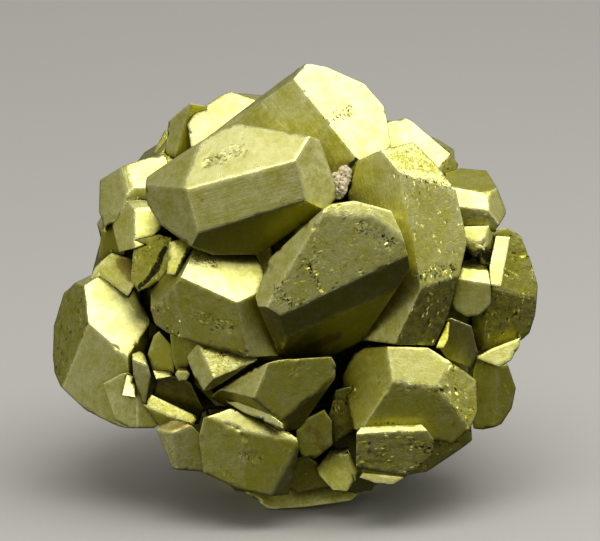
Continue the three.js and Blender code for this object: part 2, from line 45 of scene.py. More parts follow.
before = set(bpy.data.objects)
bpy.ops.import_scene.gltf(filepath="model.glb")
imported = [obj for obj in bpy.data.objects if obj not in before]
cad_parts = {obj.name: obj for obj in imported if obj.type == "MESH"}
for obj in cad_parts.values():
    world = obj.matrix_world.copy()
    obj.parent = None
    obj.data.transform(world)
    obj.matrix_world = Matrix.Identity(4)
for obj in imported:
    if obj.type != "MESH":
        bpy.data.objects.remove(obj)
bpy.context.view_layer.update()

MM = 0.001
CLUSTER = "pyrite_cluster"
GRAINS = "quartz_grains"

# The best side is seen from a little above: u runs right, v up and w towards the viewer.
LOOK_DOWN = math.radians(15)
SEEN_RIGHT = np.array((1.0, 0.0, 0.0))
SEEN_UP = np.array((0.0, math.sin(LOOK_DOWN), math.cos(LOOK_DOWN)))
SEEN_NEAR = np.array((0.0, -math.cos(LOOK_DOWN), math.sin(LOOK_DOWN)))
LOWEST_V = -0.2

# How the faces of the crystals are finished. waves, steps, striae, pits and grit are depths of the mesh;
# fine_striae and fine_grit are shares of the finest marks; the rest are shares too.
FINISH_TRAITS = (
    "waves", "steps", "striae", "pits", "grit",
    "fine_striae", "fine_grit", "roughness", "sparkle", "tarnish",
)
FINISHES = {
    "bright": (0.010, 0.006, 0.000, 0.010, 0.000, 0.25, 0.20, 0.30, 0.0, 0.10),
    "satin": (0.010, 0.008, 0.002, 0.012, 0.002, 0.45, 0.35, 0.34, 0.1, 0.48),
    "striated": (0.008, 0.005, 0.006, 0.010, 0.000, 1.00, 0.30, 0.33, 0.1, 0.42),
    "dull": (0.010, 0.010, 0.002, 0.015, 0.003, 0.40, 0.45, 0.38, 0.2, 0.90),
    "pitted": (0.012, 0.012, 0.003, 0.040, 0.006, 0.30, 0.75, 0.37, 0.5, 0.40),
    "rough": (0.015, 0.020, 0.008, 0.050, 0.035, 0.50, 1.00, 0.38, 1.0, 0.70),
}

# Points (u, v) on faces whose finish shows from the best side; other faces draw lots.
FINISH_SPOTS = {
    "bright": [
        (-6, 46), (5, 49), (-10, 30), (-9, 50), (-18.4, 42), (-24, 26), (-1, 9.2), (15.5, 46), (22, 38.6),
        (-18, 35.5), (-20, 38), (-20.6, 15), (-16.6, 16.8), (22.4, 29), (22.6, 34.3), (25.5, 31),
        (-4, 11.8),
    ],
    "satin": [
        (3, 41), (-15, 37), (-3, 27), (-8, 14.5), (-11.5, 18), (-23, 18), (-22, 13), (-15.5, 12.6),
        (5.4, 5), (2, 1), (-22, 29.8), (-14.8, 31.5), (22, 26.5), (24, 41), (-23, 39), (11, 4),
        (15, 17.5), (25.6, 19.2), (-14, 16.5), (-13, 7),
    ],
    "striated": [
        (-6, 39), (-15.5, 41.8), (-1, 48.5), (-6, 48.8), (10.5, 36), (-21, 34),
    ],
    "dull": [
        (0, 15), (-3, 6), (-9, 7.5), (2.2, 9), (10, 13), (24, 14), (26.5, 14), (22, 41.3), (-10.5, 24),
        (-4, 34), (6, 27), (3, 22), (14, 12.5), (-23.2, 33.5), (-17, 18.5), (-14, 47), (-14.2, 19.5),
        (1.8, 4),
    ],
    "pitted": [
        (5, 31), (17.5, 35), (16, 42), (-8.5, 18.5), (7, 37.4),
    ],
    "rough": [
        (17, 24.5), (28, 30), (-28.5, 22), (12, 7), (20, 12.5), (27, 23), (-18.2, 31), (-17, 25),
        (18.5, 7.5), (6, 11.5),
    ],
}
LOTS = ("satin", "satin", "striated", "dull", "pitted", "rough")

# Streaks (u, v to u, v, and half their width) of black dirt and of painted shadow in some holes and gaps, of
# small scars and of a brown film
DIRT_AND_SHADOW_STREAKS = [
    (-16.2, 32.4, -17.6, 29.6, 0.45), (-17.0, 30.0, -19.4, 27.6, 0.4), (-13.2, 32.2, -14.7, 29.0, 0.5),
    (6.6, 42.4, 7.7, 43.6, 0.35), (3.2, 13.4, 5.0, 15.4, 0.9), (21.4, 31.4, 24.0, 31.4, 0.9),
]
SCARS = [
    (-10.5, 43.2, -7.0, 44.6, 0.9), (4.6, 48.6, 6.6, 49.6, 1.3), (-12.6, 31.8, -10.2, 30.8, 1.0),
    (-12.2, 31.6, -8.8, 31.6, 0.5), (-12.0, 24.2, -8.4, 22.4, 0.8), (1.6, 30.8, 3.2, 27.2, 0.4),
    (8.4, 35.0, 11.6, 33.2, 0.9), (-2.6, 27.6, -0.6, 25.6, 0.8), (13.0, 15.4, 18.4, 14.8, 0.5),
    (-6.6, 6.8, -4.4, 6.2, 0.6), (9.6, 10.6, 15.4, 10.6, 0.3), (14.5, 8.0, 16.6, 7.4, 0.6),
    (15.0, 29.0, 19.4, 30.0, 0.7), (-9.6, 19.6, -6.0, 19.0, 0.5), (12.4, 41.6, 19.4, 40.0, 0.5),
]
RUST_STREAKS = [
    (6.0, 42.5, 6.4, 40.0, 1.5), (22.2, 22.8, 22.8, 20.6, 1.0), (-3.8, 31.5, -3.4, 30.0, 1.0),
    (-16.5, 10.4, -13.4, 10.2, 0.9), (2.0, 9.5, 3.6, 8.0, 1.2), (-21.5, 30.5, -20.5, 29.0, 1.0),
    (-11.8, 10.0, -11.6, 8.8, 0.7), (2.5, 20.5, 5.0, 21.5, 1.4),
]


# Settings

def length(name, description, millimetres):
    """A length that the sidebar shows."""
    default = millimetres * MM
    return bpy.props.FloatProperty(name=name, description=description, default=default, unit="LENGTH")


def power(name, description, watts):
    """The power of a light that the sidebar shows."""
    return bpy.props.FloatProperty(name=name, description=description, default=watts, unit="POWER")


def tint(name, description, values):
    """A colour that the sidebar shows."""
    return bpy.props.FloatVectorProperty(
        name=name, description=description, default=values, subtype="COLOR", size=3,
    )


class CrystalSettings(bpy.types.PropertyGroup):
    """Mesh and wear of the crystals"""

    best_step: length("Step on the Best Side", "Mesh spacing on faces that show from the best side", 0.315)
    seen_step: length("Step on Other Sides", "Mesh spacing on faces that show from any other side", 0.80)
    hidden_step: length("Step in Crevices", "Mesh spacing on faces deep between the crystals", 2.0)
    rim_width: length("Rim Width", "Width of the worn rim along each outer edge", 0.10)
    rim_depth: length("Rim Depth", "How far the worn rim drops at the edge", 0.03)
    chip_depth: length("Chip Depth", "Depth of the chips along outer edges", 0.45)
    scar_depth: length("Scar Depth", "Depth of the small dents in scarred places", 0.07)
    crease_depth: length("Crease Depth", "How far faces drop into the crack where crystals meet", 0.10)
    seed: bpy.props.IntProperty(name="Seed", description="Seed of the wear", default=7)
    pale_brass: tint("Pale Brass", "Colour of clean faces", (0.83, 0.81, 0.36))
    olive_brass: tint("Olive Brass", "Colour of tarnished faces", (0.53, 0.505, 0.06))
    rust: tint("Rust", "Colour of the brown film in some creases", (0.23, 0.13, 0.03))
    # Also the colour of painted shade in shut-in creases and of painted shadow in some streaks.
    dirt_and_shade: tint("Dirt", "Colour of the dirt in the creases", (0.012, 0.011, 0.006))
    # Painted shade: the dark olive mixed into the colour where other crystals shut a face in.
    crevice_shade: tint("Crevice", "Colour of the old tarnish deep between the crystals", (0.16, 0.15, 0.03))


class QuartzSettings(bpy.types.PropertyGroup):
    """Grains in the pocket"""

    grain_size: length("Grain Size", "Mean radius of a grain", 0.30)
    spacing: length("Spacing", "Least distance between the middles of two grains", 0.30)
    seed: bpy.props.IntProperty(name="Seed", description="Seed of the grains", default=3)
    colour: tint("Colour", "Colour of the quartz", (1.0, 0.88, 0.68))


class StageSettings(bpy.types.PropertyGroup):
    """Camera, floor and lights"""

    view_width: length("View Width", "Width that the camera takes in at the specimen", 75)
    camera_distance: length("Camera Distance", "Distance from the camera to the specimen", 2500)
    floor_colour: tint("Floor", "Colour of the floor", (0.62, 0.61, 0.58))
    key_power: power("Key Light", "Power of the soft box above the front", 0.95)
    side_power: power("Side Light", "Power of the soft box to the right", 0.05)
    fill_power: power("Fill Light", "Power of the wide fill in front", 0.10)


# Noise

def lattice(cells, seed):
    """Chance values from 0 to 1, one for each whole-number cell."""
    mixed = np.full(cells.shape[:-1], seed * 0x9E3779B1 & 0xFFFFFFFF, np.uint32)
    for axis, prime in enumerate((0x85EBCA6B, 0xC2B2AE35, 0x27D4EB2F)[: cells.shape[-1]]):
        mixed ^= cells[..., axis].astype(np.int64).astype(np.uint32) * np.uint32(prime)
        mixed = (mixed ^ (mixed >> np.uint32(15))) * np.uint32(0x2C1B3C6D)
        mixed ^= mixed >> np.uint32(12)
    return mixed.astype(np.float64) / 0xFFFFFFFF


def noise(points, size, seed):
    """Smooth noise from -1 to 1 with features of a size, at points in two or three dimensions."""
    scaled = points / size
    low = np.floor(scaled)
    part = scaled - low
    part = part * part * (3 - 2 * part)
    total = np.zeros(len(points))
    dimensions = points.shape[1]
    for corner in np.ndindex(*(2,) * dimensions):
        share = np.prod(np.where(np.array(corner) == 1, part, 1 - part), axis=1)
        total += share * lattice(low + corner, seed)
    return 2 * total - 1


def rough_noise(points, size, octaves, seed):
    """Noise summed over sizes that halve."""
    layers = [noise(points, size / 2**i, seed + i) / 2**i for i in range(octaves)]
    return sum(layers)


# Faces of the crystals

# How far apart the points lie that a viewer looks at, and the other sides: how high, and how many around
SEEN_GRID = 0.6
SEEN_AROUND = ((0.0, 8), (0.6, 6), (-0.5, 6), (1.4, 1))
FAR = 200.0
RESTING_LEVEL = 0.01
RESTING_WAY = -0.999


class CrystalFaces:
    """The flat faces of the cluster's solid, in millimetres: their planes, rims and finishes."""

    MERGE = 2e-6
    FLAT = math.radians(0.6)
    SLIVER = 1e-10

    def __init__(self, node, seed):
        mesh = self.merged(node)
        self.points = np.array([v.co for v in mesh.verts]) / MM
        self.triangles = np.array([[v.index for v in f.verts] for f in mesh.faces])
        self.face_of = self.grouped(mesh)
        self.count = self.face_of.max() + 1
        self.rims = self.found_rims(mesh)
        mesh.free()
        self.set_planes()
        self.set_seen()
        self.set_finishes(seed)

    def merged(self, node):
        mesh = bmesh.new()
        mesh.from_mesh(node.data)
        bmesh.ops.remove_doubles(mesh, verts=mesh.verts, dist=self.MERGE)
        bmesh.ops.dissolve_degenerate(mesh, dist=self.MERGE, edges=mesh.edges)
        bmesh.ops.triangulate(mesh, faces=mesh.faces)
        for group in (mesh.verts, mesh.edges, mesh.faces):
            group.index_update()
            group.ensure_lookup_table()
        return mesh

    def grouped(self, mesh):
        """The number of the flat face that each triangle lies on."""
        leader = list(range(len(mesh.faces)))

        def find(i):
            while leader[i] != i:
                leader[i] = leader[leader[i]]
                i = leader[i]
            return i

        for edge in mesh.edges:
            if len(edge.link_faces) == 2 and edge.calc_face_angle() < self.FLAT:
                a, b = (find(f.index) for f in edge.link_faces)
                leader[b] = a
        for face in mesh.faces:
            if face.calc_area() < self.SLIVER:
                longest = max(face.edges, key=lambda e: e.calc_length())
                for other in longest.link_faces:
                    leader[find(face.index)] = find(other.index)
        return np.unique([find(i) for i in range(len(leader))], return_inverse=True)[1]

    def found_rims(self, mesh):
        """Edges between two faces: point, point, face, face, and whether the edge stands out."""
        rims = []
        for edge in mesh.edges:
            a, b = (self.face_of[f.index] for f in edge.link_faces)
            if a != b:
                outer = edge.calc_face_angle_signed() > 0
                rims.append((edge.verts[0].index, edge.verts[1].index, a, b, outer))
        return rims

    def set_planes(self):
        """Each face's normal, area, and two directions in it, the first along its longest rim."""
        a, b, c = (self.points[self.triangles[:, i]] for i in range(3))
        spans = np.cross(b - a, c - a) / 2
        sums = np.zeros((self.count, 3))
        np.add.at(sums, self.face_of, spans)
        self.area = np.linalg.norm(sums, axis=1)
        self.normal = sums / self.area[:, None]
        longest = np.zeros(self.count)
        self.along = np.zeros((self.count, 3))
        for start, end, *faces, _ in self.rims:
            step = self.points[end] - self.points[start]
            for face in faces:
                if np.linalg.norm(step) > longest[face]:
                    longest[face] = np.linalg.norm(step)
                    self.along[face] = step / longest[face]
        self.along -= (self.along * self.normal).sum(1)[:, None] * self.normal
        self.along /= np.linalg.norm(self.along, axis=1)[:, None]
        self.across = np.cross(self.normal, self.along)
        lowest = np.full(self.count, np.inf)
        np.minimum.at(lowest, self.face_of, np.maximum(np.maximum(a, b), c)[:, 2])
        self.resting = (self.normal[:, 2] < RESTING_WAY) & (lowest < RESTING_LEVEL)

    def set_seen(self):
        """Finds the faces that show from the best side, and those that show from any side."""
        self.tree = BVHTree.FromPolygons(self.points.tolist(), self.triangles.tolist())
        self.foot = (self.points @ SEEN_UP).min() - LOWEST_V
        self.seen_best = self.seen_from(SEEN_RIGHT, SEEN_UP, SEEN_GRID)
        self.seen = self.seen_best.copy()
        for elevation, turns in SEEN_AROUND:
            for turn in range(turns):
                azimuth = 2 * math.pi * turn / turns
                right = np.array((math.cos(azimuth), math.sin(azimuth), 0.0))
                away = np.array((-right[1], right[0], 0.0))
                up = math.sin(elevation) * away + np.array((0.0, 0.0, math.cos(elevation)))
                self.seen |= self.seen_from(right, up, 2 * SEEN_GRID)

    def seen_from(self, right, up, grid):
        """Which faces a viewer sees, looking at the cluster point by point."""
        seen = np.zeros(self.count, bool)
        u, v = self.points @ right, self.points @ up
        for across in np.arange(u.min(), u.max(), grid):
            for level in np.arange(v.min(), v.max(), grid):
                triangle, _ = self.looked_at(across * right + level * up, np.cross(right, up))
                if triangle is not None:
                    seen[self.face_of[triangle]] = True
        return seen

    def looked_at(self, place, near):
        hit, _, triangle, _ = self.tree.ray_cast(Vector(place + FAR * near), Vector(-near))
        return triangle, hit

    def face_at(self, u, v):
        """The face at a point of the best side, and where it is."""
        triangle, hit = self.looked_at(u * SEEN_RIGHT + (v + self.foot) * SEEN_UP, SEEN_NEAR)
        if triangle is None:
            return None, None
        return self.face_of[triangle], np.array(hit)

    def set_finishes(self, seed):
        """Gives each face its finish, as a row of traits."""
        lots = (lattice(np.arange(self.count)[:, None], seed) * len(LOTS)).astype(int) % len(LOTS)
        names = [LOTS[lot] for lot in lots]
        for name, spots in FINISH_SPOTS.items():
            for spot in spots:
                face, _ = self.face_at(*spot)
                if face is not None:
                    names[face] = name
        table = np.array([FINISHES[name] for name in names])
        self.trait = dict(zip(FINISH_TRAITS, table.T))

    def ends(self, streaks):
        """Where the given streaks start and stop on the faces, with their half widths."""
        found = [(self.face_at(u, v)[1], self.face_at(s, t)[1], half) for u, v, s, t, half in streaks]
        return [streak for streak in found if streak[0] is not None and streak[1] is not None]


# Fine mesh of the faces

SAME_POINT = 1e-5
NEEDLE = 1e-6
RING_ROOM = 0.8
GRID_ROOM = 0.5
NO_RIM = 99.0
BATCH = 4000
LEVEL = 1e-12


class FineMesh:
    """Triangles over every face, sharing the points along the rims.
    A corner is a point as one face holds it: rim points have several corners, inner points have one."""

    JITTER = 0.22

    def __init__(self, faces, settings):
        self.faces = faces
        self.step = np.where(faces.seen, settings.seen_step, settings.hidden_step) / MM
        self.step[faces.seen_best] = settings.best_step / MM
        self.rim_width = settings.rim_width / MM
        self.points = list(faces.points)
        self.triangles = []
        self.triangle_face = []
        self.corners = []
        self.split_rims()
        for face in range(faces.count):
            self.cover(face)
        self.gather()

    def split_rims(self):
        """Points along every rim, close enough for the finer of its two faces."""
        self.sides = [[] for _ in range(self.faces.count)]
        for start, end, a, b, outer in self.faces.rims:
            p, q = self.faces.points[start], self.faces.points[end]
            pieces = max(1, round(np.linalg.norm(q - p) / min(self.step[a], self.step[b])))
            chain = [start]
            for i in range(1, pieces):
                chain.append(len(self.points))
                self.points.append(p + (q - p) * (i / pieces))
            chain.append(end)
            for face in (a, b):
                self.sides[face].append((chain, outer))

    def flat(self, face, ids):
        """Points of a face as two coordinates, along and across."""
        places = np.array([self.points[i] for i in ids]) - self.origin
        return np.stack([places @ self.faces.along[face], places @ self.faces.across[face]], axis=1)

    def cover(self, face):
        sides = self.sides[face]
        rim_ids = list(dict.fromkeys(i for chain, _ in sides for i in chain))
        self.origin = self.points[rim_ids[0]]
        rim = self.flat(face, rim_ids)
        number = {i: n for n, i in enumerate(rim_ids)}
        segments = [(number[a], number[b]) for chain, _ in sides for a, b in zip(chain, chain[1:])]
        ends = np.array([(number[chain[0]], number[chain[-1]]) for chain, _ in sides])
        outer = np.array([kind for _, kind in sides])
        starts, stops = rim[ends[:, 0]], rim[ends[:, 1]]
        inner = self.inner_points(face, rim, segments, starts, stops)
        flat = np.concatenate([rim, inner])
        ids = rim_ids + self.added(face, inner)
        cut = delaunay_2d_cdt([Vector(p) for p in flat], segments, [], 0, SAME_POINT)
        walls = {(min(s), max(s)) for s in segments}
        for triangle in np.array(cut[2])[patches_inside(flat, cut[2], walls, starts, stops)]:
            self.triangles.append([ids[cut[3][i][0]] for i in triangle])
            self.triangle_face.append(face)
        to_outer = nearest(flat, starts[outer], stops[outer])
        to_crease = nearest(flat, starts[~outer], stops[~outer])
        self.corners.extend(zip(ids, [face] * len(ids), to_outer, to_crease))

    def inner_points(self, face, rim, segments, starts, stops):
        """A ring just inside the rims, and a slightly uneven grid over the rest of the face."""
        step = self.step[face]
        if not self.faces.seen[face]:
            return np.zeros((0, 2))
        a, b = rim[[s[0] for s in segments]], rim[[s[1] for s in segments]]
        run = b - a
        side = np.stack([-run[:, 1], run[:, 0]], axis=1)
        side /= np.linalg.norm(side, axis=1)[:, None] + SAME_POINT
        middle = (a + b) / 2
        ring = np.concatenate([middle + side * self.rim_width, middle - side * self.rim_width])
        ring = ring[inside(ring, starts, stops)]
        ring = ring[nearest(ring, starts, stops) > RING_ROOM * self.rim_width]
        low, high = rim.min(0), rim.max(0)
        rows = np.arange(low[1], high[1], step * math.sqrt(3) / 2)
        columns = np.arange(low[0], high[0], step)
        if len(rows) == 0 or len(columns) == 0:
            return ring
        grid = np.array([(x + step / 2 * (j % 2), y) for j, y in enumerate(rows) for x in columns])
        cells = np.stack([np.arange(len(grid)), np.full(len(grid), face)], axis=1)
        shift = np.stack([lattice(cells, 1), lattice(cells, 2)], axis=1) - 0.5
        grid = grid + shift * 2 * self.JITTER * step
        grid = grid[inside(grid, starts, stops)]
        grid = grid[nearest(grid, starts, stops) > self.rim_width + GRID_ROOM * step]
        return np.concatenate([ring, grid])

    def added(self, face, flat):
        """Adds points of a face, given as along and across, and returns their numbers."""
        first = len(self.points)
        along, across = self.faces.along[face], self.faces.across[face]
        self.points.extend(self.origin + x * along + y * across for x, y in flat)
        return list(range(first, len(self.points)))

    def gather(self):
        self.points = np.array(self.points)
        self.triangles = np.array(self.triangles)
        self.triangle_face = np.array(self.triangle_face)
        point, face, outer, crease = (np.array(column) for column in zip(*self.corners))
        self.corner_point, self.corner_face = point, face
        self.to_outer, self.to_crease = outer, crease


def patches_inside(flat, triangles, walls, starts, stops):
    """Which triangles lie inside an outline. Those with no wall between them go with the largest one."""
    leader = list(range(len(triangles)))

    def find(i):
        while leader[i] != i:
            leader[i] = leader[leader[i]]
            i = leader[i]
        return i

    owner = {}
    for number, (a, b, c) in enumerate(triangles):
        for side in ((min(a, b), max(a, b)), (min(b, c), max(b, c)), (min(a, c), max(a, c))):
            if side not in walls:
                leader[find(number)] = find(owner.setdefault(side, number))
    corners = flat[np.array(triangles)]
    ab, ac = corners[:, 1] - corners[:, 0], corners[:, 2] - corners[:, 0]
    areas = np.abs(ab[:, 0] * ac[:, 1] - ab[:, 1] * ac[:, 0])
    patch = np.array([find(i) for i in range(len(triangles))])
    largest = {patch[i]: i for i in np.argsort(areas)}
    chosen = list(largest.values())
    kept = inside(corners[chosen].mean(1), starts, stops) & (areas[chosen] > NEEDLE)
    return np.isin(patch, np.array(list(largest))[kept])


def nearest(points, starts, stops):
    """Distance from each point to the nearest of some segments."""
    result = np.full(len(points), NO_RIM)
    if len(starts) == 0:
        return result
    run = stops - starts
    length = (run * run).sum(1) + SAME_POINT**2
    for first in range(0, len(points), BATCH):
        part = points[first : first + BATCH, None, :]
        share = np.clip(((part - starts) * run).sum(2) / length, 0, 1)
        gap = part - (starts + share[..., None] * run)
        result[first : first + BATCH] = np.sqrt((gap * gap).sum(2).min(1))
    return result


def inside(points, starts, stops):
    """Which points lie inside the outline that the segments make."""
    result = np.zeros(len(points), bool)
    run = stops - starts
    flat = np.abs(run[:, 1]) < LEVEL
    slope = run[:, 0] / np.where(flat, 1, run[:, 1])
    for first in range(0, len(points), BATCH):
        x, y = (points[first : first + BATCH, i, None] for i in (0, 1))
        spans = (starts[:, 1] > y) != (stops[:, 1] > y)
        crossing = spans & (x < starts[:, 0] + (y - starts[:, 1]) * slope)
        result[first : first + BATCH] = crossing.sum(1) % 2 == 1
    return result


# Relief of the faces

WAVE_SIZE = 6.0
STEP_SIZE = 4.5
STEP_LEVELS = 3
STRIA_LENGTH = 11.0
STRIA_WIDTH = 0.9
STRIA_LEVELS = 4
PIT_SIZE = 0.8
PIT_SHARE = 0.35
GRIT_SIZE = 0.9
CHIP_SIZE = 0.8
CHIP_REACH = 0.20
NICK_SPREAD = 2.6
NICK_SHARE = 0.15
SCAR_SIZE = 0.7
CREASE_REACH = 0.12
FACES_APART = 40.0
MOST_RELIEF = 0.6
SOLVE_EASE = 0.02
RAGGED = (0.7, 0.3)
STAIN_EDGE = 1.5

# What is added to the seed for each kind of mark
SEEDS = {
    "waves": 10, "steps": 20, "striae": 30, "pits": 40, "grit": 50, "nicks": 60, "chips": 65, "creases": 70,
    "scars": 75, "tone": 80,
}


def stepped(values, levels):
    """Values from -1 to 1 brought down to a few level steps."""
    return np.floor((values + 1) / 2 * levels) / levels


def relief(mesh, settings):
    """How far each corner's face stands out or sinks in, in millimetres."""
    faces, face = mesh.faces, mesh.corner_face
    seed = {name: settings.seed + step for name, step in SEEDS.items()}
    place = mesh.points[mesh.corner_point]
    trait = {name: values[face] for name, values in faces.trait.items()}
    apart = FACES_APART * lattice(np.stack([face, face], axis=1), settings.seed)
    along = (place * faces.along[face]).sum(1) + apart
    across = (place * faces.across[face]).sum(1) + apart
    flat = np.stack([along, across], axis=1)
    strips = np.stack([along / STRIA_LENGTH, across / STRIA_WIDTH], axis=1)
    height = trait["waves"] * noise(place, WAVE_SIZE, seed["waves"])
    height += trait["steps"] * stepped(rough_noise(flat, STEP_SIZE, 3, seed["steps"]), STEP_LEVELS)
    height += trait["striae"] * stepped(rough_noise(strips, 1.0, 2, seed["striae"]), STRIA_LEVELS)
    height -= trait["pits"] * np.clip(rough_noise(place, PIT_SIZE, 2, seed["pits"]) - PIT_SHARE, 0, 1)
    height += trait["grit"] * rough_noise(place, GRIT_SIZE, 2, seed["grit"])
    rim_width = settings.rim_width / MM
    worn = np.clip(1 - mesh.to_outer / rim_width, 0, 1) ** 2
    height -= settings.rim_depth / MM * worn
    nicked = np.clip(noise(place, NICK_SPREAD, seed["nicks"]) - NICK_SHARE, 0, 1)
    chips = nicked * np.clip(rough_noise(place, CHIP_SIZE, 2, seed["chips"]), 0, 1)
    height -= settings.chip_depth / MM * chips * np.exp(-((mesh.to_outer / CHIP_REACH) ** 2))
    dents = np.clip(rough_noise(place, SCAR_SIZE, 2, seed["scars"]), 0, 1)
    height -= settings.scar_depth / MM * dents * stain(place, faces.ends(SCARS))
    ragged = RAGGED[0] + RAGGED[1] * noise(place, CHIP_SIZE, seed["creases"])
    height -= settings.crease_depth / MM * ragged * np.exp(-mesh.to_crease / CREASE_REACH)
    height[faces.resting[face]] = 0
    return np.clip(height, -MOST_RELIEF, MOST_RELIEF)


def moved_points(mesh, height):
    """The points once every face around them has moved by its height."""
    normal = mesh.faces.normal[mesh.corner_face]
    pulls = np.zeros((len(mesh.points), 3, 3)) + SOLVE_EASE * np.eye(3)
    goals = np.zeros((len(mesh.points), 3))
    np.add.at(pulls, mesh.corner_point, normal[:, :, None] * normal[:, None, :])
    np.add.at(goals, mesh.corner_point, normal * height[:, None])
    return mesh.points + np.linalg.solve(pulls, goals[..., None])[..., 0]


def least_by_point(mesh, values):
    result = np.full(len(mesh.points), NO_RIM)
    np.minimum.at(result, mesh.corner_point, values)
    return result


def stain(points, streaks):
    """From 0 to 1, how far each point lies within some streaks."""
    amount = np.zeros(len(points))
    for start, stop, half in streaks:
        gap = nearest(points, start[None], stop[None])
        amount = np.maximum(amount, np.clip(STAIN_EDGE - gap / half, 0, 1))
    return amount


OPEN_RAYS = 9
OPEN_REACH = 9.0
OPEN_START = 0.05
OPEN_EASE = 5


# Painted shade: the colour reads this map and turns darker and more olive where it is low.
def openness(mesh):
    """From 0 to 1, how much of what lies in front of each point is free of other crystals."""
    faces = mesh.faces
    turns = np.arange(OPEN_RAYS) * math.pi * (3 - math.sqrt(5))
    spread = np.sqrt((np.arange(OPEN_RAYS) + 0.5) / OPEN_RAYS)
    aside = np.stack([spread * np.cos(turns), spread * np.sin(turns), np.sqrt(1 - spread**2)], axis=1)
    axes = np.stack([faces.along, faces.across, faces.normal], axis=1)
    rays = [[Vector(ray) for ray in aside @ axis] for axis in axes]
    starts = mesh.points[mesh.corner_point] + OPEN_START * faces.normal[mesh.corner_face]
    free = np.zeros(len(starts))
    cast = faces.tree.ray_cast
    for corner in np.flatnonzero(faces.seen[mesh.corner_face]):
        start = Vector(starts[corner])
        free[corner] = sum(cast(start, ray, OPEN_REACH)[2] is None for ray in rays[mesh.corner_face[corner]])
    total = np.bincount(mesh.corner_point, free / OPEN_RAYS, len(mesh.points))
    total /= np.maximum(np.bincount(mesh.corner_point, minlength=len(mesh.points)), 1)
    return eased(mesh, total, OPEN_EASE)


def eased(mesh, values, times):
    """Point values, each drawn towards its neighbours a few times."""
    first = mesh.triangles[:, (0, 1, 2)].ravel()
    second = mesh.triangles[:, (1, 2, 0)].ravel()
    shares = np.maximum(np.bincount(first, minlength=len(values)), 1)
    for _ in range(times):
        values = (values + np.bincount(first, values[second], len(values)) / shares) / 2
    return values


RIM_REACH = 0.25
CREASE_MAP_REACH = 0.20
POINT_MAPS = ("rim", "crease", "dirt_and_shade", "rust", "scar", "open")
SHADED_TRAITS = ("fine_striae", "fine_grit", "roughness", "sparkle", "tarnish")
STRIAE_MAP = "striae_map"
UV_SCALE = 0.01


def crystal_mesh(name, mesh, settings):
    """The finished mesh, with the maps that its material reads."""
    faces = mesh.faces
    points = moved_points(mesh, relief(mesh, settings))
    data = bpy.data.meshes.new(name)
    data.from_pydata((points * MM).tolist(), [], mesh.triangles.tolist())
    data.shade_smooth()
    on_points = {
        "rim": np.exp(-least_by_point(mesh, mesh.to_outer) / RIM_REACH),
        "crease": np.exp(-least_by_point(mesh, mesh.to_crease) / CREASE_MAP_REACH),
        "dirt_and_shade": stain(mesh.points, faces.ends(DIRT_AND_SHADOW_STREAKS)),
        "rust": stain(mesh.points, faces.ends(RUST_STREAKS)),
        "scar": stain(mesh.points, faces.ends(SCARS)),
        "open": openness(mesh),
    }
    on_faces = {key: faces.trait[key][mesh.triangle_face] for key in SHADED_TRAITS}
    on_faces["tone"] = lattice(np.stack([mesh.triangle_face] * 2, axis=1), settings.seed + SEEDS["tone"])
    for domain, maps in (("POINT", on_points), ("FACE", on_faces)):
        for key, values in maps.items():
            data.attributes.new(key, "FLOAT", domain).data.foreach_set("value", values.astype(np.float32))
    corner = mesh.points[mesh.triangles]
    owner = mesh.triangle_face[:, None]
    flat = np.stack([(corner * faces.along[owner]).sum(2), (corner * faces.across[owner]).sum(2)], axis=2)
    data.uv_layers.new(name=STRIAE_MAP).data.foreach_set("uv", (flat * UV_SCALE).astype(np.float32).ravel())
    data.validate()
    return data


# Shader sums

class Sum:
    """A number that a node tree works out. Operators on it add Math nodes."""

    def __init__(self, nodes, socket):
        self.nodes, self.socket = nodes, socket

    def __add__(self, other):
        return self.nodes.math("ADD", self, other)

    def __sub__(self, other):
        return self.nodes.math("SUBTRACT", self, other)

    def __rsub__(self, other):
        return self.nodes.math("SUBTRACT", other, self)

    def __mul__(self, other):
        return self.nodes.math("MULTIPLY", self, other)

    __radd__, __rmul__ = __add__, __mul__

    def __abs__(self):
        return self.nodes.math("ABSOLUTE", self)

    def clipped(self):
        return self.nodes.math("MINIMUM", self.nodes.math("MAXIMUM", self, 0.0), 1.0)


